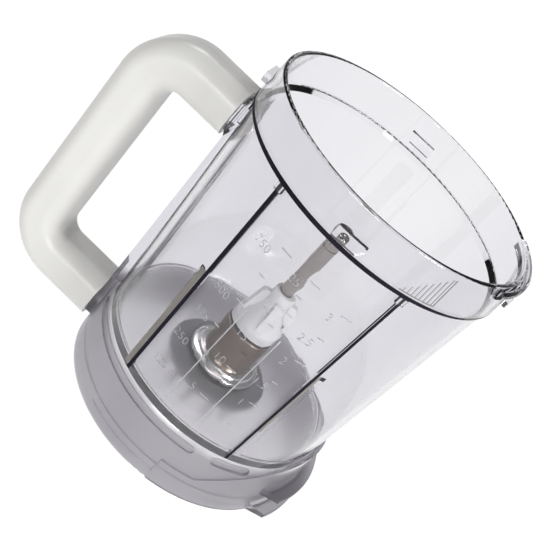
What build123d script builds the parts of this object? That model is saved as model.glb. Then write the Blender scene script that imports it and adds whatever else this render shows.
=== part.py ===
"""Food processor bowl: clear bowl with a two-part loop handle and a captive drive shaft.

Frame: origin on the drive axis, in the plane of the skirt's bottom edge. +Z is up along the
drive axis. The handle points to -X, the finger lip to +X and the measuring scale to -Y.
Everything is in millimetres.
"""
from build123d import *
from math import cos, degrees, pi, sin
import os

# ---------------------------------------------------------------- driving dimensions
# Bowl
bowl_height = 148.0
rim_radius = 58.5            # outer radius at the top of the rim
collar_radius = 59.5         # outer radius at the collar's lower edge
collar_bottom = 130.5
wall = 2.2
wall_top_radius = 58.0       # outer radius of the body just under the collar
wall_foot_radius = 53.2      # outer radius of the body at the floor
floor_top = 29.0
floor_thickness = 2.5
skirt_radius = 54.4
skirt_shoulder = 24.6        # height where the skirt reaches its full radius
floor_hole_radius = 11.4
seat_radius = 52.8           # wider mouth inside the skirt that takes the motor base's rim
seat_depth = 8.0
floor_groove = (22.2, 25.6)  # lower and upper edge of the shallow outside groove under the floor
floor_groove_depth = 1.0
floor_groove_arc = (-158.0, 84.0)              # azimuth where the groove starts, and its sweep
pocket_height = (22.8, 26.4)
pocket_depth = 1.4
pocket_arc = (-62.0, 15.0)
band_starts = (-118.0, 62.0)                   # low guide bands round the skirt
band_sweep = 44.0
band_depth = 0.55
band_height = (1.0, 5.8)

# Collar details
lug_turns = (-87.0, 3.0, 93.0, 183.0)
lug_width = 12.0
lug_height = 4.6
lug_middle = 135.7
lug_reach = 1.9
lip_half_angle = 28.0
lip_radius = 61.5
lip_bottom = 142.8

# Marked panel on the front of the body
panel_left = -116.0          # azimuths of the two upright edges of the panel
panel_right = -60.0
edge_rib_width = 1.5
edge_rib_depth = 0.9
inner_rib_top = 84.0
mark_relief = 0.25

# Bayonet on the skirt
bayonet_starts = (-33.0, 114.0)                # azimuths where the flanges leave the skirt
bayonet_sweep = 50.0
bayonet_ramp = 10.0                            # azimuth taken by the slanted lead-in
bayonet_radius = 61.8
bayonet_bottoms = (2.4, 13.0)                  # underside of the lower and the upper flange
bayonet_root = 5.4                             # flange thickness at the skirt
bayonet_edge = 2.0                             # flange thickness at its outer edge
apron_radius = 55.5                            # thicker skirt on the lip side
apron_half_angle = 79.5
apron_low = 12.6
apron_tilt = 33.7                              # slope of the apron's upper edge, rising to +X

# Handle loop (centre line in the XZ plane)
grip_x = -97.2
arm_high = 115.6
arm_low = 10.6
handle_thick = 20.6          # across the loop, in the XZ plane
handle_wide = 23.6           # along Y
handle_corner = 7.6          # corner radius of the section
handle_bend = 16.4           # centre-line bend radius
handle_wall = 2.6
seam_gap = 0.16
spine_low_reach = 56.3       # distance of the spine's face from the axis at the lower arm
spine_high_reach = 58.5      # and at the upper arm
spine_width = 19.0
upper_end_x = -60.4          # where the arms' flat ends face the bowl
lower_end_x = -56.7
arm_root = 1.0               # how far the arm mounts run into the bowl's wall
neck_size = (17.0, 13.0)     # section of the block between the bowl and an arm's end
tongue_size = (5.6, 11.6)    # section of the tongue inside an arm
tongue_end = 5.0             # length of the tongue past its screw
arm_screw_x = -72.5
corner_screw_x = -93.6
corner_screw_inset = 5.2

# Fasteners of the handle
screw_radius = 1.5
screw_head_radius = 2.8
insert_radius = 2.2
boss_radius = 3.9

# Drive parts on the axis
sleeve_radius = 11.4
sleeve_bore = 9.0
sleeve_top = 50.6
sleeve_bottom = 22.8
ring_radius = 16.0
nut_radius = 13.3
spindle_radius = 3.5
spindle_tip = 111.0
spindle_foot = 8.6
running_gap = 0.05
hub_bottom = 52.0
hub_neck_radius = 5.7
hub_top = 73.6
wing_radius = 8.8
wing_top = 70.0
wing_count = 4
wing_turn = 20.0
pin_height = 60.0
coupling_radius = 23.4
coupling_top = 25.8
coupling_plate = 8.4          # height of the cup that holds the flange on the boss
coupling_cup_radius = 15.4
coupling_flange = 3.0         # thickness of the flange that carries the pegs
coupling_well = 13.8         # radius of the well that clears the clamp nut
coupling_boss_radius = 8.0
coupling_bottom = 11.4
peg_count = 12
peg_circle = 18.6
peg_radius = 1.7
peg_stem_radius = 1.5        # thinner part that is pressed into the drive plate
relief_depth = 0.3           # grooves round the spindle above the hub and near the tip
relief_height = 0.9

UP = (Align.CENTER, Align.CENTER, Align.MIN)
side_wall = handle_wide / 2 - handle_wall + 0.3      # where the bosses meet the handle's side
head_seat = side_wall - 3.2                          # depth of the screw heads along Y


# ---------------------------------------------------------------- helpers
def tube(outer, inner, bottom, top):
    """Ring about the drive axis."""
    ring = Cylinder(outer, top - bottom, align=UP)
    ring -= Cylinder(inner, top - bottom, align=UP)
    return Pos(0, 0, bottom) * ring


def rod(radius, bottom, top):
    """Solid round bar on the drive axis."""
    return Pos(0, 0, bottom) * Cylinder(radius, top - bottom, align=UP)


def outline(points, rounds=None):
    """Flat face in the XZ plane through (radius, height) points, some corners rounded."""
    face = make_face(Polyline(*points, close=True))
    for index, radius in (rounds or {}).items():
        corner = face.vertices().sort_by_distance((points[index][0], points[index][1], 0))[0]
        face = fillet(corner, radius)
    return Plane.XZ * face


def turned(points, rounds=None):
    """Full turned solid about the drive axis."""
    return revolve(outline(points, rounds), Axis.Z)


def sector(points, start, sweep, rounds=None):
    """Part-turned solid from azimuth start, in degrees, through sweep."""
    return Rot(0, 0, start) * revolve(outline(points, rounds), Axis.Z, revolution_arc=sweep)


def wall_radius(height):
    """Outer radius of the tapered body."""
    share = (height - floor_top) / (collar_bottom - floor_top)
    return wall_foot_radius + share * (wall_top_radius - wall_foot_radius)


def on_wall(start, sweep, low, high, depth, sink=0.4):
    """Raised band on the body's outer face, from azimuth start through sweep."""
    points = (
        (wall_radius(low) - sink, low),
        (wall_radius(low) + depth, low),
        (wall_radius(high) + depth, high),
        (wall_radius(high) - sink, high),
    )
    return sector(points, start, sweep)


def arc_angle(width, radius):
    """Angle in degrees that a width takes up on a radius."""
    return degrees(width / radius)


def fill_height(millilitres):
    """Height of the liquid surface for a volume in the tapered bowl, around the drive post."""
    height = floor_top
    step = 0.05
    filled = 0.0
    while filled < millilitres * 1000.0:
        inside = wall_radius(height) - wall
        post = sleeve_radius if height < hub_bottom else spindle_radius
        filled += pi * (inside ** 2 - post ** 2) * step
        height += step
    return height


# ---------------------------------------------------------------- bowl
def bowl_shell():
    """Rim, collar, tapered body, floor and skirt in one turned moulding."""
    floor_under = floor_top - floor_thickness
    points = (
        (floor_hole_radius, floor_under),
        (skirt_radius - wall - 1.6, floor_under),
        (skirt_radius - wall, skirt_shoulder - 2.4),
        (skirt_radius - wall, seat_depth),
        (seat_radius, seat_depth),
        (seat_radius, 0),
        (skirt_radius, 0),
        (skirt_radius, skirt_shoulder),
        (wall_foot_radius, floor_top - 1.4),
        (wall_foot_radius, floor_top),
        (wall_top_radius, collar_bottom),
        (collar_radius, collar_bottom),
        (rim_radius, bowl_height),
        (rim_radius - 2.0, bowl_height),
        (collar_radius - wall, collar_bottom + 0.6),
        (wall_top_radius - wall, collar_bottom - 1.2),
        (wall_foot_radius - wall, floor_top),
        (floor_hole_radius, floor_top),
    )
    rounds = {6: 0.7, 7: 1.6, 11: 0.7, 12: 0.9, 13: 0.8, 16: 3.5}
    return turned(points, rounds)


def collar_details():
    """Four lid lugs with a lead-in corner, and the finger lip."""
    pieces = []
    for turn in lug_turns:
        lug = Pos(rim_radius + lug_reach - 1.0, 0, lug_middle) * Box(lug_reach + 2.0, lug_width, lug_height)
        lead_in = lug.edges().filter_by(Axis.X).group_by(Axis.Z)[0].sort_by(Axis.Y)[-1]
        lug = chamfer(lead_in, 3.0, 2.0)
        pieces.append(Rot(0, 0, turn) * lug)
    lip = (
        (rim_radius - 0.6, lip_bottom),
        (lip_radius - 1.4, lip_bottom + 0.5),
        (lip_radius, lip_bottom + 2.2),
        (lip_radius - 0.2, bowl_height - 1.6),
        (lip_radius - 1.2, bowl_height - 0.7),
        (rim_radius - 0.6, bowl_height - 0.5),
    )
    pieces.append(sector(lip, -lip_half_angle, 2 * lip_half_angle, {1: 0.8, 2: 0.8, 3: 0.5}))
    return pieces


def panel_details():
    """Upright edges of the marked panel, their end blocks and the ribs inside the wall."""
    pieces = []
    for side, turn in ((-1, panel_left), (1, panel_right)):
        width = arc_angle(edge_rib_width, wall_radius(80))
        pieces.append(on_wall(turn - width / 2, width, floor_top + 2.0, collar_bottom, edge_rib_depth))
        block = 2.2 * width
        pieces.append(on_wall(turn - block / 2, block, collar_bottom - 3.2, collar_bottom, edge_rib_depth + 0.5))
        rib_width = arc_angle(2.0, wall_radius(60))
        shift = side * arc_angle(4.2, wall_radius(60))
        rib = (
            (wall_radius(floor_top) - wall + 0.3, floor_top - 0.3),
            (wall_radius(floor_top) - wall - 2.0, floor_top - 0.3),
            (wall_radius(inner_rib_top - 3) - wall - 2.0, inner_rib_top - 3),
            (wall_radius(inner_rib_top) - wall + 0.3, inner_rib_top),
        )
        pieces.append(sector(rib, turn + shift - rib_width / 2, rib_width))
    return pieces


def scale_marks():
    """Raised graduation strokes: millilitres, fluid ounces and cups."""
    ounce = 29.57
    columns = (
        (-101.5, (250, 500, 750), 4.8),
        (-101.5, (125, 375, 625), 2.6),
        (-87.0, [ounce * n for n in (5, 10, 15, 20, 25)], 4.4),
        (-87.0, [ounce * n for n in (7.5, 12.5, 17.5, 22.5)], 2.4),
        (-71.0, [236.6 * n for n in (1, 2, 3)], 4.6),
        (-71.0, [236.6 * n for n in (0.5, 1.5, 2.5)], 2.6),
    )
    pieces = []
    for turn, volumes, sweep in columns:
        for volume in volumes:
            height = fill_height(volume)
            pieces.append(on_wall(turn, sweep, height - 0.2, height + 0.2, mark_relief))
    for turn in (-96.0, -79.6):
        pieces.append(on_wall(turn, 0.45, floor_top + 8.0, 86.0, mark_relief))
    return pieces


def lid_mark():
    """Hatched triangle on the collar that lines up with the lid."""
    pieces = []
    strokes = 8
    for index in range(strokes):
        share = (index + 0.5) / strokes
        top = 146.0 - 12.4 * (1.0 - share)
        turn = -64.2 + 13.8 * share
        stroke = (
            (collar_radius - 1.0, 133.2),
            (collar_radius - 0.14 + mark_relief, 133.2),
            (collar_radius - 0.14 - (top - 133.2) * 0.057 + mark_relief, top),
            (collar_radius - 1.0 - (top - 133.2) * 0.057, top),
        )
        pieces.append(sector(stroke, turn, 0.5))
    return pieces


def bayonet_flange(start, bottom):
    """One flange: thick with a long fillet at the skirt, thin at its edge, slanted at its start."""
    section = (
        (skirt_radius - 0.8, bottom),
        (bayonet_radius, bottom),
        (bayonet_radius, bottom + bayonet_edge),
        (skirt_radius + 2.4, bottom + bayonet_edge + 0.9),
        (skirt_radius - 0.8, bottom + bayonet_root + 1.4),
    )
    flange = sector(section, start, bayonet_sweep, {2: 0.6, 3: 4.0})
    inner = Vector(skirt_radius - 0.8, 0, bottom)
    outer = Vector(bayonet_radius, 0, bottom).rotate(Axis.Z, bayonet_ramp)
    slant = outer - inner
    wedge = Plane(origin=inner, x_dir=slant, z_dir=(0, 0, 1)) * Pos(5, -10, 0) * Box(40, 20, 40)
    return flange - Rot(0, 0, start) * wedge


def bayonet_and_skirt():
    """Stacked bayonet flanges, the apron behind them and the low guide bands."""
    pieces = []
    for start in bayonet_starts:
        for bottom in bayonet_bottoms:
            pieces.extend(bayonet_flange(start, bottom).solids())
    apron = tube(apron_radius, skirt_radius - 0.8, 1.0, floor_top + 3.2)
    keep = Pos(0, 0, apron_low / 2) * Box(150, 150, apron_low)
    keep += Rot(0, -apron_tilt, 0) * Pos(0, 0, -53.0) * Box(200, 200, 100)
    half_width = sector(
        ((40, 0), (70, 0), (70, 50), (40, 50)), -apron_half_angle, 2 * apron_half_angle)
    pieces.extend((apron & keep & half_width).solids())
    low, high = band_height
    band = (
        (skirt_radius - band_depth, low),
        (skirt_radius + band_depth, low + band_depth),
        (skirt_radius + band_depth, high - band_depth),
        (skirt_radius - band_depth, high),
    )
    for start in band_starts:
        pieces.append(sector(band, start, band_sweep))
    return pieces


def bar_along_x(x_from, x_to, z, size):
    """Square bar along X over the handle's middle plane; size is its width and height."""
    return Pos((x_from + x_to) / 2, 0, z) * Box(x_to - x_from, *size)


def upper_pad():
    """Lens-shaped pad on the spine that the upper arm's end leans on."""
    half_height = handle_thick / 2 - 0.6
    bulge = ThreePointArc(
        (-spine_high_reach + 1.0, arm_high - half_height),
        (upper_end_x + 0.1, arm_high),
        (-spine_high_reach + 1.0, arm_high + half_height))
    section = make_face([bulge, Line(bulge @ 1, bulge @ 0)])
    return extrude(Plane.XZ * section, spine_width / 2, both=True)


def handle_mounts():
    """Spine on the handle side, the upper pad, and a neck and a tongue for each arm."""
    spine = extrude(outline((
        (-spine_low_reach + 4.5, arm_low),
        (-spine_low_reach, arm_low),
        (-spine_high_reach, arm_high),
        (-spine_high_reach + 4.5, arm_high),
    )), spine_width / 2, both=True)
    pieces = [spine, upper_pad()]
    for end_x, arm_z, wall_face in (
        (upper_end_x, arm_high, wall_radius(arm_high)),
        (lower_end_x, arm_low, skirt_radius),
    ):
        root = arm_root - wall_face
        pieces.append(bar_along_x(end_x + 0.1, root, arm_z, neck_size))
        pieces.append(bar_along_x(arm_screw_x - tongue_end, root, arm_z, tongue_size))
    return pieces


def skirt_recess(heights, depth, start, sweep):
    """Shallow slot in the skirt's outer face with round ends."""
    low, high = heights
    section = (
        (skirt_radius - depth, low),
        (skirt_radius + 1.0, low),
        (skirt_radius + 1.0, high),
        (skirt_radius - depth, high),
    )
    recess = sector(section, start, sweep)
    middle = Pos(skirt_radius + 1.0 - depth, 0, (low + high) / 2)
    round_end = middle * Rot(0, 90, 0) * Cylinder((high - low) / 2, 2.0)
    for turn in (start, start + sweep):
        recess += Rot(0, 0, turn) * round_end
    return recess


def make_bowl():
    bowl = bowl_shell()
    extras = collar_details() + panel_details() + scale_marks() + lid_mark()
    extras += bayonet_and_skirt() + handle_mounts()
    bowl = bowl.fuse(*[solid for piece in extras for solid in piece.solids()])
    # The inside stays clear of everything that is added on the handle side.
    inside = turned((
        (0, floor_top),
        (wall_foot_radius - wall - 3.0, floor_top),
        (wall_foot_radius - wall, floor_top + 3.0),
        (wall_top_radius - wall, collar_bottom - 1.2),
        (0, collar_bottom - 1.2),
    ))
    handle_side = Pos(-55, 0, 80) * Box(30, 60, 120)
    bowl -= inside & handle_side
    under = rod(skirt_radius - wall, -1.0, floor_top - floor_thickness - 4.5)
    bowl -= under
    bowl -= skirt_recess(floor_groove, floor_groove_depth, *floor_groove_arc)
    bowl -= skirt_recess(pocket_height, pocket_depth, *pocket_arc)
    for arm_z in (arm_high, arm_low):
        bowl -= Pos(arm_screw_x, 0, arm_z) * Rot(90, 0, 0) * Cylinder(screw_radius + 0.4, 20)
    return bowl


# ---------------------------------------------------------------- handle
def loop_solid(shrink):
    """Loop swept round the handle's centre line, its section made smaller by shrink."""
    path = FilletPolyline(
        (0, 0, arm_high), (grip_x, 0, arm_high), (grip_x, 0, arm_low), (0, 0, arm_low),
        radius=handle_bend)
    section = RectangleRounded(
        handle_thick - 2 * shrink, handle_wide - 2 * shrink, handle_corner - 0.75 * shrink)
    start = Plane(origin=(0, 0, arm_high), x_dir=(0, 0, 1), z_dir=(-1, 0, 0))
    solid = sweep(start * section, path=path)
    upper_cut = Pos(upper_end_x + 50, 0, arm_high) * Box(100, 40, 40)
    lower_cut = Pos(lower_end_x + 50, 0, arm_low) * Box(100, 40, 40)
    return solid - upper_cut - lower_cut


def screw_places():
    """X, Z and half-length of the clear gap at each of the four handle screws."""
    return (
        (arm_screw_x, arm_high, 3.0),
        (arm_screw_x, arm_low, 3.0),
        (corner_screw_x, arm_high - corner_screw_inset, seam_gap / 2),
        (corner_screw_x, arm_low + corner_screw_inset, seam_gap / 2),
    )


def across(x, z, radius, y_from, y_to):
    """Round bar along Y."""
    length = y_to - y_from
    return Pos(x, y_from + length / 2, z) * Rot(90, 0, 0) * Cylinder(radius, length)


def make_handle_halves():
    outer = loop_solid(0)
    shell = outer - loop_solid(handle_wall)
    for x, z, gap in screw_places():
        shell += across(x, z, boss_radius, -side_wall, -gap)
        shell += across(x, z, boss_radius, gap, side_wall)
        shell -= across(x, z, insert_radius, -side_wall + 1.4, -gap + 0.01)
        shell -= across(x, z, screw_radius + 0.2, gap - 0.01, side_wall)
        shell -= across(x, z, screw_head_radius + 0.3, head_seat, handle_wide)
    big = 200.0
    front_block = Pos(grip_x, -big / 2 - seam_gap / 2, 60) * Box(big, big, big)
    rear_block = Pos(grip_x, big / 2 + seam_gap / 2, 60) * Box(big, big, big)
    return shell & front_block, shell & rear_block


def make_handle_screws():
    """Four pan-head screws, put in from the rear half."""
    screws = []
    for x, z, gap in screw_places():
        screw = across(x, z, screw_head_radius, head_seat, head_seat + 2.0)
        screw += across(x, z, screw_radius, -6.2, head_seat)
        slot = Pos(x, head_seat + 1.7, z) * (Box(0.8, 1.4, 3.6) + Box(3.6, 1.4, 0.8))
        screws.append(screw - slot)
    return Compound(children=[s for screw in screws for s in screw.solids()])


def make_handle_inserts():
    """Four threaded brass inserts pressed into the front half's bosses."""
    inserts = []
    for x, z, gap in screw_places():
        body = across(x, z, insert_radius, -side_wall + 1.6, -max(gap, 0.3))
        body -= across(x, z, screw_radius, -side_wall, 0)
        inserts.extend(body.solids())
    return Compound(children=inserts)


# ---------------------------------------------------------------- drive post, fixed parts
def make_bearing_sleeve():
    """Polished steel sleeve through the floor, threaded below it, with a turned-in top."""
    return turned((
        (sleeve_bore, sleeve_bottom),
        (sleeve_radius - 0.02, sleeve_bottom),
        (sleeve_radius - 0.02, sleeve_top),
        (sleeve_bore, sleeve_top),
    ), {2: 0.5})


def make_base_ring():
    """Bright stepped ring that clamps the sleeve on the inside of the floor."""
    return turned((
        (sleeve_radius, floor_top + 1.0),
        (ring_radius, floor_top + 1.0),
        (ring_radius, floor_top + 2.6),
        (ring_radius - 2.0, floor_top + 3.2),
        (ring_radius - 2.6, floor_top + 4.2),
        (sleeve_radius, floor_top + 4.6),
    ), {2: 0.8, 4: 0.6})


def make_floor_gasket():
    return tube(ring_radius - 0.6, sleeve_radius, floor_top, floor_top + 1.0)


def make_clamp_nut():
    """Flat round nut under the floor, with four spanner notches."""
    nut = tube(nut_radius, sleeve_radius, sleeve_bottom + 0.3, floor_top - floor_thickness)
    for turn in range(0, 360, 90):
        nut -= Rot(0, 0, turn) * Pos(nut_radius, 0, sleeve_bottom + 1.0) * Box(2.0, 3.4, 2.6)
    return nut


def make_bush(bottom, top):
    return tube(sleeve_bore, spindle_radius + running_gap, bottom, top)


def make_shaft_seal():
    """Black lip seal: its body inside the sleeve and a thin flange on the sleeve's end."""
    seal = tube(sleeve_bore, spindle_radius + 0.3, sleeve_top - 3.0, sleeve_top)
    return seal + tube(sleeve_radius - 0.3, spindle_radius + 0.3, sleeve_top, sleeve_top + 0.9)


# ---------------------------------------------------------------- drive post, turning parts
def make_spindle():
    """Straight ground shaft with a cross hole, a clip groove, two relief grooves and a dimple."""
    spindle = turned((
        (0, spindle_foot),
        (spindle_radius, spindle_foot),
        (spindle_radius, spindle_tip),
        (0, spindle_tip),
    ), {1: 0.6, 2: 0.9})
    spindle -= tube(spindle_radius + 1, spindle_radius - 0.6, coupling_bottom - 1.1, coupling_bottom - 0.1)
    for bottom in (hub_top, spindle_tip - 10.0):
        spindle -= tube(spindle_radius + 1, spindle_radius - relief_depth, bottom, bottom + relief_height)
    spindle -= Pos(0, 0, spindle_tip + 0.2) * Sphere(1.2)
    spindle -= Pos(0, 0, pin_height) * Rot(0, 90, 0) * Cylinder(1.25, 20)
    return spindle


def make_drive_hub():
    """White hub: round foot, tapered shoulder, neck and four upright driving wings."""
    hub = turned((
        (spindle_radius, hub_bottom),
        (sleeve_radius - 0.3, hub_bottom),
        (sleeve_radius - 0.3, hub_bottom + 3.6),
        (hub_neck_radius + 1.6, hub_bottom + 9.5),
        (hub_neck_radius, hub_bottom + 13.0),
        (hub_neck_radius - 0.5, hub_top),
        (spindle_radius, hub_top),
    ), {2: 1.6, 3: 1.5, 5: 0.8})
    for index in range(wing_count):
        wing = outline((
            (spindle_radius + 0.8, hub_bottom + 3.0),
            (sleeve_radius - 0.9, hub_bottom + 3.0),
            (wing_radius, wing_top - 1.5),
            (wing_radius - 1.5, wing_top),
            (spindle_radius + 0.8, wing_top),
        ))
        blade = extrude(wing, 1.6, both=True)
        hub += Rot(0, 0, wing_turn + index * 360 / wing_count) * blade
    hub -= Pos(0, 0, pin_height) * Rot(0, 90, 0) * Cylinder(1.25, 17.6)
    return hub


def make_hub_pin():
    return Pos(0, 0, pin_height) * Rot(0, 90, 0) * Cylinder(1.25, 17.0)


def make_upper_washer():
    return tube(6.6, spindle_radius + running_gap, sleeve_top + 0.95, hub_bottom)


def make_lower_washer():
    return tube(6.6, spindle_radius + running_gap, sleeve_bottom - 0.9, sleeve_bottom - 0.1)


def make_coupling():
    """Grey drive plate under the floor: flange, cup with a well for the nut, boss and twelve peg holes."""
    plate = tube(coupling_radius, spindle_radius, coupling_top - coupling_flange, coupling_top)
    plate = fillet(plate.edges().filter_by(GeomType.CIRCLE).group_by(Axis.Z)[-1].sort_by(
        SortBy.RADIUS)[-1], 0.8)
    plate += tube(coupling_cup_radius, spindle_radius, coupling_top - coupling_plate, coupling_top)
    plate -= rod(coupling_well, sleeve_bottom - 1.0, coupling_top + 1)
    plate += tube(coupling_boss_radius, spindle_radius, coupling_bottom, sleeve_bottom - 0.95)
    for x, y in peg_places():
        plate -= Pos(x, y, coupling_top - coupling_flange - 1) * Cylinder(peg_stem_radius, 6, align=UP)
    return plate


def peg_places():
    """Centres of the twelve driving pegs."""
    places = []
    for index in range(peg_count):
        angle = 2 * pi * index / peg_count
        places.append((peg_circle * cos(angle), peg_circle * sin(angle)))
    return places


def make_coupling_pegs():
    """Twelve light shouldered pegs in the drive plate that engage the motor's coupling."""
    shoulder = coupling_top - coupling_flange
    pegs = []
    for x, y in peg_places():
        peg = Pos(x, y, coupling_bottom) * Cylinder(peg_radius, shoulder - coupling_bottom, align=UP)
        peg += Pos(x, y, shoulder) * Cylinder(peg_stem_radius, coupling_flange + 0.2, align=UP)
        pegs.extend(chamfer(peg.edges().group_by(Axis.Z)[0], 0.4).solids())
    return Compound(children=pegs)


def make_retaining_clip():
    """Open spring clip in the groove under the coupling's boss."""
    clip = tube(6.0, spindle_radius - 0.6, coupling_bottom - 1.05, coupling_bottom - 0.15)
    clip -= Pos(5.0, 0, coupling_bottom - 0.6) * Box(10, 3.6, 3)
    return clip


# ---------------------------------------------------------------- write the parts
front_half, rear_half = make_handle_halves()
parts = {
    "bowl": make_bowl(),
    "handle_front_half": front_half,
    "handle_rear_half": rear_half,
    "handle_screws": make_handle_screws(),
    "handle_inserts": make_handle_inserts(),
    "bearing_sleeve": make_bearing_sleeve(),
    "sleeve_base_ring": make_base_ring(),
    "floor_gasket": make_floor_gasket(),
    "sleeve_clamp_nut": make_clamp_nut(),
    "lower_bush": make_bush(sleeve_bottom, sleeve_bottom + 8.0),
    "upper_bush": make_bush(sleeve_top - 11.0, sleeve_top - 3.0),
    "shaft_seal": make_shaft_seal(),
    "spindle": make_spindle(),
    "drive_hub": make_drive_hub(),
    "hub_pin": make_hub_pin(),
    "upper_thrust_washer": make_upper_washer(),
    "lower_thrust_washer": make_lower_washer(),
    "drive_coupling": make_coupling(),
    "coupling_pegs": make_coupling_pegs(),
    "coupling_clip": make_retaining_clip(),
}
os.makedirs("parts", exist_ok=True)
for name, shape in parts.items():
    export_step(shape, f"parts/{name}.step")
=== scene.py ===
"""Looks of the food processor bowl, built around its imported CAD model. Metres, +Z up."""
import math

import bmesh
import bpy
from mathutils import Matrix, Vector


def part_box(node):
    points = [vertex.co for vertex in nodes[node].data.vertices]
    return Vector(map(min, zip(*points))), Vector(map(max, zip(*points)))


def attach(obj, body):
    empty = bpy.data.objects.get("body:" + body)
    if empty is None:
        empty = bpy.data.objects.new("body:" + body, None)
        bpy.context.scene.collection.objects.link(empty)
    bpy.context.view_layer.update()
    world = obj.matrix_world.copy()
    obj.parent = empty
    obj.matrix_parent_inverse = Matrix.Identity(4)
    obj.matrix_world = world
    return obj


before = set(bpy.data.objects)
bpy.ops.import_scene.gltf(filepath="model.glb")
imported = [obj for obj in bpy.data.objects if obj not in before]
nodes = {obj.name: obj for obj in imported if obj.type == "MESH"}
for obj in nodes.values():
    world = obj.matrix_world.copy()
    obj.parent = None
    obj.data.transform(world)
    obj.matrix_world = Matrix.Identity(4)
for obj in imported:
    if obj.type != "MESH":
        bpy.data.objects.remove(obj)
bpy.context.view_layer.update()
MM = 0.001

# ---------------------------------------------------------------- sizes from the frame and the CAD model
RIM_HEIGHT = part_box("bowl")[1].z
RIM_RADIUS = 58.5 * MM
COLLAR_RADIUS = 59.5 * MM
COLLAR_BOTTOM = 130.5 * MM
WALL = 2.2 * MM
SLEEVE_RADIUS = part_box("bearing_sleeve")[1].x
SPINDLE_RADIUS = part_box("spindle")[1].x
HUB_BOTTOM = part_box("drive_hub")[0].z
FLOOR_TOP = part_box("floor_gasket")[0].z
WALL_TOP_RADIUS = 58.0 * MM
WALL_FOOT_RADIUS = 53.2 * MM


def wall_radius(height):
    """Outer radius of the tapered body at a height."""
    share = (height - FLOOR_TOP) / (COLLAR_BOTTOM - FLOOR_TOP)
    return WALL_FOOT_RADIUS + share * (WALL_TOP_RADIUS - WALL_FOOT_RADIUS)


# ---------------------------------------------------------------- material helpers
def new_material(name):
    material = bpy.data.materials.new(name)
    material.use_nodes = True
    tree = material.node_tree
    shader = tree.nodes["Principled BSDF"]
    return material, tree, shader


def set_inputs(shader, **values):
    for key, value in values.items():
        shader.inputs[key.replace("_", " ")].default_value = value


def noise(tree, scale, detail=3.0, stretch=(1, 1, 1)):
    """Noise in object space, so that it stays on the piece; stretch squeezes it along an axis."""
    coords = tree.nodes.new("ShaderNodeTexCoord")
    mapping = tree.nodes.new("ShaderNodeMapping")
    mapping.inputs["Scale"].default_value = stretch
    texture = tree.nodes.new("ShaderNodeTexNoise")
    texture.inputs["Scale"].default_value = scale
    texture.inputs["Detail"].default_value = detail
    tree.links.new(coords.outputs["Object"], mapping.inputs["Vector"])
    tree.links.new(mapping.outputs["Vector"], texture.inputs["Vector"])
    return texture


def ramp(tree, source, stops):
    """Colour ramp over a 0 to 1 value; stops are (place, colour) pairs."""
    node = tree.nodes.new("ShaderNodeValToRGB")
    elements = node.color_ramp.elements
    while len(elements) < len(stops):
        elements.new(0.5)
    for element, (place, colour) in zip(elements, stops):
        element.position = place
        element.color = (*colour, 1)
    tree.links.new(source, node.inputs["Fac"])
    return node.outputs["Color"]


def spread(tree, source, low, high):
    """Maps a 0 to 1 value to the range low to high."""
    node = tree.nodes.new("ShaderNodeMapRange")
    node.inputs["To Min"].default_value = low
    node.inputs["To Max"].default_value = high
    tree.links.new(source, node.inputs["Value"])
    return node.outputs["Result"]


def bump(tree, shader, source, strength, distance):
    node = tree.nodes.new("ShaderNodeBump")
    node.inputs["Strength"].default_value = strength
    node.inputs["Distance"].default_value = distance
    tree.links.new(source, node.inputs["Height"])
    tree.links.new(node.outputs["Normal"], shader.inputs["Normal"])


def plastic(name, light, dark, rough, grain=900.0, strength=0.12, coat=0.0):
    """Moulded plastic: faint mottling, a fine grain and uneven gloss."""
    material, tree, shader = new_material(name)
    mottle = noise(tree, 35.0)
    fine = noise(tree, grain, 2.0)
    colour = ramp(tree, mottle.outputs["Fac"], [(0.3, dark), (0.7, light)])
    gloss = spread(tree, mottle.outputs["Fac"], rough - 0.05, rough + 0.05)
    tree.links.new(colour, shader.inputs["Base Color"])
    tree.links.new(gloss, shader.inputs["Roughness"])
    bump(tree, shader, fine.outputs["Fac"], strength, 0.0002)
    if coat:
        shader.inputs["Coat Weight"].default_value = coat
        shader.inputs["Coat Roughness"].default_value = 0.08
    return material


def metal(name, light, dark, rough, stretch=(1, 1, 1), grain=400.0, strength=0.05):
    """Metal with a grain that can run along or round the piece."""
    material, tree, shader = new_material(name)
    lines = noise(tree, grain, 4.0, stretch)
    cloud = noise(tree, 60.0)
    colour = ramp(tree, cloud.outputs["Fac"], [(0.25, dark), (0.75, light)])
    gloss = spread(tree, lines.outputs["Fac"], rough * 0.6, rough * 1.4)
    tree.links.new(colour, shader.inputs["Base Color"])
    tree.links.new(gloss, shader.inputs["Roughness"])
    shader.inputs["Metallic"].default_value = 1.0
    bump(tree, shader, lines.outputs["Fac"], strength, 0.0001)
    return material


def height_band(tree, low, high, smooth=True, most=1.0):
    """0 at the height low, most at high, along the drive axis in object space; low may be above high."""
    coords = tree.nodes.new("ShaderNodeTexCoord")
    split = tree.nodes.new("ShaderNodeSeparateXYZ")
    band = tree.nodes.new("ShaderNodeMapRange")
    band.interpolation_type = "SMOOTHSTEP" if smooth else "LINEAR"
    band.inputs["From Min"].default_value = low
    band.inputs["From Max"].default_value = high
    band.inputs["To Max"].default_value = most
    tree.links.new(coords.outputs["Object"], split.inputs["Vector"])
    tree.links.new(split.outputs["Z"], band.inputs["Value"])
    return band.outputs["Result"]


def mixed(tree, share, low, high):
    """Colour low where share is 0 and high where it is 1; each may be a colour or a socket."""
    node = tree.nodes.new("ShaderNodeMix")
    node.data_type = "RGBA"
    tree.links.new(share, node.inputs["Factor"])
    for name, value in (("A", low), ("B", high)):
        socket = next(i for i in node.inputs if i.name == name and i.type == "RGBA")
        if isinstance(value, tuple):
            socket.default_value = (*value, 1)
        else:
            tree.links.new(value, socket)
    return next(o for o in node.outputs if o.type == "RGBA")


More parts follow.
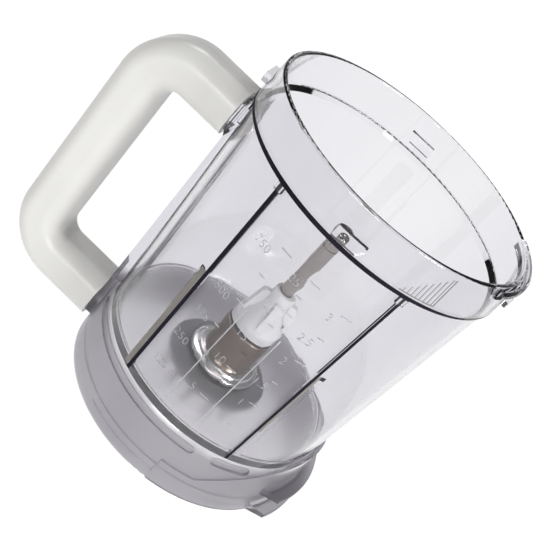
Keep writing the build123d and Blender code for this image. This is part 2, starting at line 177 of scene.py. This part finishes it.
def clear_plastic():
    """Clear styrene: faint ripple, uneven polish, frosted below the floor, and a painted shade that darkens
    its colour below the floor.
    """
    material, tree, shader = new_material("clear_plastic")
    ripple = noise(tree, 22.0, 1.0, (1, 1, 0.35))
    scuff = noise(tree, 500.0, 4.0)
    set_inputs(shader, Transmission_Weight=1.0, IOR=1.5)
    body = ramp(tree, ripple.outputs["Fac"], [(0.3, (0.79, 0.785, 0.81)), (0.7, (0.85, 0.845, 0.865))])
    # Painted shade: below the floor the colour is darkened to stand in for the shade that the thick skirt
    # and its inner reflections give.
    skirt_painted_shade = ramp(tree, ripple.outputs["Fac"], [(0.3, (0.37, 0.355, 0.39)), (0.7, (0.44, 0.425, 0.455))])
    above_skirt = height_band(tree, FLOOR_TOP - 5.5 * MM, FLOOR_TOP - 0.8 * MM)
    tree.links.new(mixed(tree, above_skirt, skirt_painted_shade, body), shader.inputs["Base Color"])
    polish = spread(tree, scuff.outputs["Fac"], 0.0, 0.04)
    frost = height_band(tree, FLOOR_TOP - 1.5 * MM, FLOOR_TOP - 2.4 * MM, smooth=False, most=0.36)
    total = tree.nodes.new("ShaderNodeMath")
    total.operation = "ADD"
    tree.links.new(frost, total.inputs[0])
    tree.links.new(polish, total.inputs[1])
    tree.links.new(total.outputs["Value"], shader.inputs["Roughness"])
    bump(tree, shader, ripple.outputs["Fac"], 0.015, 0.001)
    absorb = tree.nodes.new("ShaderNodeVolumeAbsorption")
    absorb.inputs["Color"].default_value = (0.30, 0.26, 0.42, 1)
    absorb.inputs["Density"].default_value = 12.0
    tree.links.new(absorb.outputs["Volume"], tree.nodes["Material Output"].inputs["Volume"])
    return material


def raised_mark():
    """The scale's raised strokes: frosted clear plastic that looks pale over dark things."""
    material, tree, shader = new_material("raised_marks")
    grain = noise(tree, 800.0, 3.0)
    set_inputs(shader, Transmission_Weight=0.72, IOR=1.5)
    colour = ramp(tree, grain.outputs["Fac"], [(0.3, (0.80, 0.80, 0.82)), (0.7, (0.88, 0.88, 0.90))])
    tree.links.new(colour, shader.inputs["Base Color"])
    tree.links.new(spread(tree, grain.outputs["Fac"], 0.30, 0.45), shader.inputs["Roughness"])
    bump(tree, shader, grain.outputs["Fac"], 0.1, 0.0001)
    return material


MATERIALS = {
    "clear": clear_plastic(),
    "mark": raised_mark(),
    "dark": plastic("dark_edge", (0.010, 0.008, 0.016), (0.005, 0.004, 0.009), 0.55, strength=0.03),
    "shade": plastic("shaded_edge", (0.25, 0.23, 0.21), (0.17, 0.155, 0.14), 0.5, strength=0.03),
    "white": plastic("white_plastic", (0.76, 0.755, 0.725), (0.73, 0.725, 0.695), 0.32),
    "hub": plastic("hub_plastic", (0.97, 0.97, 0.96), (0.94, 0.94, 0.93), 0.18, strength=0.05, coat=0.3),
    "grey": plastic("grey_plastic", (0.90, 0.90, 0.89), (0.84, 0.84, 0.83), 0.45),
    "peg": plastic("light_plastic", (0.98, 0.98, 0.97), (0.95, 0.95, 0.94), 0.35),
    "nylon": plastic("nylon", (0.75, 0.74, 0.70), (0.70, 0.69, 0.65), 0.5),
    "rubber": plastic("black_rubber", (0.02, 0.02, 0.022), (0.012, 0.012, 0.014), 0.6, grain=1500),
    # Painted reflection: the sleeve's brown tint stands in for the warm surroundings that the polished steel
    # reflects.
    "sleeve": metal("polished_steel", (0.46, 0.38, 0.31), (0.34, 0.26, 0.20), 0.22, (1, 1, 12)),
    "spindle": metal("ground_steel", (0.42, 0.39, 0.37), (0.34, 0.31, 0.29), 0.12, (1, 1, 25)),
    "ring": metal("bright_ring", (0.93, 0.93, 0.92), (0.86, 0.86, 0.85), 0.30),
    "zinc": metal("zinc_screw", (0.60, 0.61, 0.63), (0.50, 0.51, 0.53), 0.3),
    "spring": metal("spring_steel", (0.25, 0.25, 0.26), (0.16, 0.16, 0.17), 0.35),
    "brass": metal("insert_brass", (0.78, 0.60, 0.30), (0.66, 0.48, 0.22), 0.3),
    "bronze": metal("sintered_bronze", (0.50, 0.34, 0.18), (0.38, 0.25, 0.12), 0.45),
}
NODE_MATERIALS = {
    "bowl": "clear", "handle_front_half": "white", "handle_rear_half": "white", "handle_screws": "zinc",
    "handle_inserts": "brass", "bearing_sleeve": "sleeve", "sleeve_base_ring": "ring",
    "floor_gasket": "rubber", "sleeve_clamp_nut": "zinc", "lower_bush": "bronze", "upper_bush": "bronze",
    "shaft_seal": "rubber", "spindle": "spindle", "drive_hub": "hub", "hub_pin": "spindle",
    "upper_thrust_washer": "nylon", "lower_thrust_washer": "nylon", "drive_coupling": "grey",
    "coupling_pegs": "peg", "coupling_clip": "spring",
}

# The dark edges stay dull, so that no light turns them grey.
dark_shader = MATERIALS["dark"].node_tree.nodes["Principled BSDF"]
dark_shader.inputs["Specular IOR Level"].default_value = 0.1
for node, key in NODE_MATERIALS.items():
    mesh = nodes[node].data
    mesh.materials.clear()
    mesh.materials.append(MATERIALS[key])

# ---------------------------------------------------------------- raised numbers on the scale
NUMBER_SIZE = 5.0 * MM
NUMBER_RELIEF = 0.25 * MM
NUMBER_THINNING = 0.2 * MM
SCALE_COLUMNS = (
    # azimuth of the numbers' middle, (text, height of the numbers' middle in mm)
    (-107.5, (("750", 110.2), ("500", 85.2), ("375", 72.5), ("250", 58.6), ("125", 44.0))),
    (-91.0, (("25", 110.0), ("20", 95.3), ("15", 79.3), ("10", 65.3), ("5", 47.7))),
    (-73.5, (("3", 107.6), ("2.5", 94.5), ("2", 82.0), ("1.5", 68.0), ("1", 56.0))),
)


def on_wall(across, up, out, azimuth, height):
    """A point near the wall's outer face: across and up run along the face, out is the distance from it."""
    z = height + up
    radius = wall_radius(z)
    angle = math.radians(azimuth) + across / radius
    return ((radius + out) * math.cos(angle), (radius + out) * math.sin(angle), z)


def raised_text(text, azimuth, height, size, relief):
    """Mesh of one number, wrapped on the wall."""
    curve = bpy.data.curves.new("number", "FONT")
    curve.body = text
    curve.size = size
    curve.align_x = "CENTER"
    curve.align_y = "CENTER"
    curve.extrude = relief / 2
    curve.bevel_depth = relief / 4
    curve.offset = -NUMBER_THINNING
    curve.resolution_u = 4
    flat = bpy.data.objects.new("number", curve)
    mesh = bpy.data.meshes.new_from_object(flat)
    bpy.data.objects.remove(flat)
    bpy.data.curves.remove(curve)
    for vertex in mesh.vertices:
        across, up, out = vertex.co
        vertex.co = on_wall(across, up, out + relief / 2, azimuth, height)
    return mesh


def joined(name, meshes, material, body):
    """One object from several meshes, with the given material, riding on a body."""
    work = bmesh.new()
    for mesh in meshes:
        work.from_mesh(mesh)
        bpy.data.meshes.remove(mesh)
    bmesh.ops.remove_doubles(work, verts=work.verts, dist=1e-6)
    result = bpy.data.meshes.new(name)
    work.to_mesh(result)
    work.free()
    result.materials.append(material)
    piece = bpy.data.objects.new(name, result)
    bpy.context.scene.collection.objects.link(piece)
    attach(piece, body)


numbers = []
for azimuth, rows in SCALE_COLUMNS:
    for text, height in rows:
        numbers.append(raised_text(text, azimuth, height * MM, NUMBER_SIZE, NUMBER_RELIEF))
joined("scale_numbers", numbers, MATERIALS["mark"], "bowl_body")


# ---------------------------------------------------------------- ridges on the wall and the collar
def swept_strip(rows):
    """Closed mesh through rows of four points each."""
    work = bmesh.new()
    rings = [[work.verts.new(point) for point in row] for row in rows]
    for lower, upper in zip(rings, rings[1:]):
        for i in range(4):
            j = (i + 1) % 4
            work.faces.new((lower[i], lower[j], upper[j], upper[i]))
    work.faces.new(reversed(rings[0]))
    work.faces.new(rings[-1])
    bmesh.ops.recalc_face_normals(work, faces=work.faces)
    mesh = bpy.data.meshes.new("strip")
    work.to_mesh(mesh)
    work.free()
    return mesh


def on_collar(across, up, out, azimuth, height):
    """A point of the collar's outer face, as on_wall gives it for the wall."""
    z = height + up
    share = (z - COLLAR_BOTTOM) / (RIM_HEIGHT - COLLAR_BOTTOM)
    radius = COLLAR_RADIUS + share * (RIM_RADIUS - COLLAR_RADIUS)
    angle = math.radians(azimuth) + across / radius
    return ((radius + out) * math.cos(angle), (radius + out) * math.sin(angle), z)


def ridge(surface, start, end, width, lift, thickness, steps=48, taper=0.0):
    """Low ridge with sloping sides between two (azimuth, height) places; lift is its back's distance from
    the surface, and a taper above 0 makes it narrower towards both ends."""
    run = Vector((math.radians(end[0] - start[0]) * RIM_RADIUS, end[1] - start[1])).normalized()
    rows = []
    for step in range(steps + 1):
        share = step / steps
        azimuth = start[0] + (end[0] - start[0]) * share
        height = start[1] + (end[1] - start[1]) * share
        half = width / 2 * max(math.sin(math.pi * share), 0.02) ** taper
        row = []
        for side, out in ((-1.0, 0.0), (-0.8, thickness), (0.8, thickness), (1.0, 0.0)):
            row.append(surface(-run.y * half * side, run.x * half * side, lift + out, azimuth, height))
        rows.append(row)
    return swept_strip(rows)


def fill_height(millilitres):
    """Height of the liquid surface for a volume in the tapered bowl, around the drive post."""
    step = 0.1 * MM
    height = FLOOR_TOP
    filled = 0.0
    while filled < millilitres * 1e-6:
        post = SLEEVE_RADIUS if height < HUB_BOTTOM else SPINDLE_RADIUS
        filled += math.pi * ((wall_radius(height) - WALL) ** 2 - post ** 2) * step
        height += step
    return height


EDGE_THICK = 0.2 * MM
EDGE_LIFT = 0.92 * MM                # just off the CAD model's edge ribs
SHADE_LIFT = 0.05 * MM
INNER_RIB_TOP = 84.0 * MM
RIGHT_SHADE_FOOT = 48.0 * MM


def wall_line(name, material, azimuth, width, low, high, lift):
    """Upright line of the marked panel as a piece of its own."""
    mesh = ridge(on_wall, (azimuth, low), (azimuth, high), width, lift, EDGE_THICK)
    joined(name, [mesh], MATERIALS[material], "bowl_body")


# Name, finish, azimuth, width, foot, top and distance from the wall.
wall_line("panel_edge_left", "dark", -116.0, 1.7 * MM, FLOOR_TOP, COLLAR_BOTTOM, EDGE_LIFT)
wall_line("panel_edge_right", "dark", -60.0, 1.2 * MM, FLOOR_TOP, COLLAR_BOTTOM, EDGE_LIFT)
wall_line("panel_shade_left", "shade", -118.8, 2.4 * MM, FLOOR_TOP, INNER_RIB_TOP, SHADE_LIFT)
wall_line("panel_shade_right", "shade", -58.2, 1.1 * MM, RIGHT_SHADE_FOOT, INNER_RIB_TOP, SHADE_LIFT)

COLLAR_LINE_WIDTH = 1.8 * MM
COLLAR_LINE_ENDS = (-172.0, -32.0)   # azimuths; the line is on the scale's side
line_height = COLLAR_BOTTOM + COLLAR_LINE_WIDTH / 2
line_start, line_end = ((azimuth, line_height) for azimuth in COLLAR_LINE_ENDS)
line = ridge(on_collar, line_start, line_end, COLLAR_LINE_WIDTH, 0.0, 0.15 * MM, steps=120, taper=0.4)
joined("collar_edge_line", [line], MATERIALS["dark"], "bowl_body")

# Lower and right edge of the hatched triangle that lines up with the lid.
MARK_LEFT = (-64.6, 133.0 * MM)
MARK_RIGHT = (-50.0, 133.0 * MM)
MARK_TOP = (-50.0, 145.6 * MM)
outline = [ridge(on_collar, start, end, 0.3 * MM, 0.0, 0.25 * MM, steps=24)
           for start, end in ((MARK_LEFT, MARK_RIGHT), (MARK_RIGHT, MARK_TOP))]
joined("lid_mark_outline", outline, MATERIALS["shade"], "bowl_body")

# The scale's strokes and its two long lines lie on the CAD model's strokes.
OUNCE = 29.57                        # millilitres
CUP = 236.6
TICKS = (
    # azimuth where the strokes start, their sweep, volumes in millilitres
    (-101.5, 4.8, (250, 500, 750)),
    (-101.5, 2.6, (125, 375, 625)),
    (-87.0, 4.4, [OUNCE * n for n in (5, 10, 15, 20, 25)]),
    (-71.0, 4.6, [CUP * n for n in (1, 2, 3)]),
    (-71.0, 2.6, [CUP * n for n in (0.5, 1.5, 2.5)]),
)
STROKE_WIDTH = 0.5 * MM
STROKE_LIFT = 0.22 * MM
STROKE_THICK = 0.1 * MM
LONG_LINE_AZIMUTHS = (-95.8, -79.4)
LONG_LINE_FOOT = FLOOR_TOP + 6 * MM
LONG_LINE_TOP = 88.0 * MM


def stroke(start, end, steps):
    return ridge(on_wall, start, end, STROKE_WIDTH, STROKE_LIFT, STROKE_THICK, steps)


strokes = [stroke((azimuth, LONG_LINE_FOOT), (azimuth, LONG_LINE_TOP), 48) for azimuth in LONG_LINE_AZIMUTHS]
for azimuth, sweep, volumes in TICKS:
    for volume in volumes:
        height = fill_height(volume)
        strokes.append(stroke((azimuth, height), (azimuth + sweep, height), 6))
joined("scale_lines", strokes, MATERIALS["mark"], "bowl_body")

# ---------------------------------------------------------------- floor, light and camera
FLOOR_SIZE = 12.0
GLOW_SEEN = 1.0                      # plain white to the eye and through the clear bowl
GLOW_CAST = 0.52                     # what dull surfaces receive from the floor
bpy.ops.mesh.primitive_plane_add(size=FLOOR_SIZE)
floor = bpy.context.object
floor.name = "floor"
floor_material, floor_tree, floor_shader = new_material("floor_white")
set_inputs(floor_shader, Base_Color=(0.1, 0.1, 0.1, 1), Roughness=0.95, Emission_Color=(1, 1, 1, 1))
floor_shader.inputs["Specular IOR Level"].default_value = 0.0
rays = floor_tree.nodes.new("ShaderNodeLightPath")
glow = spread(floor_tree, rays.outputs["Is Diffuse Ray"], GLOW_SEEN, GLOW_CAST)
floor_tree.links.new(glow, floor_shader.inputs["Emission Strength"])
floor.data.materials.append(floor_material)

# The studio is pale at the horizon and dark overhead, apart from the softboxes.
world = bpy.data.worlds.new("studio")
world.use_nodes = True
world_tree = world.node_tree
direction = world_tree.nodes.new("ShaderNodeTexCoord")
split = world_tree.nodes.new("ShaderNodeSeparateXYZ")
world_tree.links.new(direction.outputs["Generated"], split.inputs["Vector"])
SKY_STOPS = [(0.0, (0.72, 0.72, 0.73)), (0.08, (0.60, 0.60, 0.61)), (0.30, (0.15, 0.15, 0.16))]
sky = ramp(world_tree, split.outputs["Z"], SKY_STOPS)
world_tree.links.new(sky, world_tree.nodes["Background"].inputs["Color"])
bpy.context.scene.world = world
bpy.context.scene.view_settings.view_transform = "Standard"


def softbox(name, place, target, width, height, power):
    """Rectangular light that faces the target; sizes in metres, power in watts."""
    data = bpy.data.lights.new(name, "AREA")
    data.shape = "RECTANGLE"
    data.size = width
    data.size_y = height
    data.energy = power
    light = bpy.data.objects.new(name, data)
    light.location = place
    light.rotation_mode = "QUATERNION"
    light.rotation_quaternion = (Vector(target) - Vector(place)).to_track_quat("-Z", "Y")
    bpy.context.scene.collection.objects.link(light)


middle = (0, 0, RIM_HEIGHT * 0.5)
softbox("key", (0.0, -1.0, 0.08), middle, 0.5, 0.4, 6.5)
softbox("side", (0.90, -0.60, 0.30), middle, 0.4, 0.4, 8.0)
softbox("top", (0.25, -0.1, 1.0), middle, 0.5, 0.4, 2.5)
softbox("rear", (-0.55, 0.60, 1.00), middle, 0.5, 0.4, 4.0)

# The camera looks down at the bowl from the scale's side and is rolled, so that the bowl leans.
ELEVATION = math.radians(25.57)
DISTANCE = 6.99 * RIM_RADIUS
TARGET_HEIGHT = RIM_HEIGHT - 0.8 * RIM_RADIUS
ROLL, PAN, TILT = (math.radians(angle) for angle in (44.016, 3.040, -1.547))
camera_data = bpy.data.cameras.new("camera")
camera_data.sensor_width = 36.0
camera_data.lens = 69.25
camera = bpy.data.objects.new("camera", camera_data)
bpy.context.scene.collection.objects.link(camera)
bpy.context.scene.camera = camera
target = Vector((0, 0, TARGET_HEIGHT))
rightwards = Vector((1, 0, 0))
upwards = Vector((0, math.sin(ELEVATION), math.cos(ELEVATION)))
backwards = Vector((0, -math.cos(ELEVATION), math.sin(ELEVATION)))
level = Matrix((rightwards, upwards, backwards)).transposed()
turn = Matrix.Rotation(ROLL, 3, "Z") @ Matrix.Rotation(PAN, 3, "Y") @ Matrix.Rotation(TILT, 3, "X")
camera.matrix_world = Matrix.Translation(target + DISTANCE * backwards) @ (level @ turn).to_4x4()
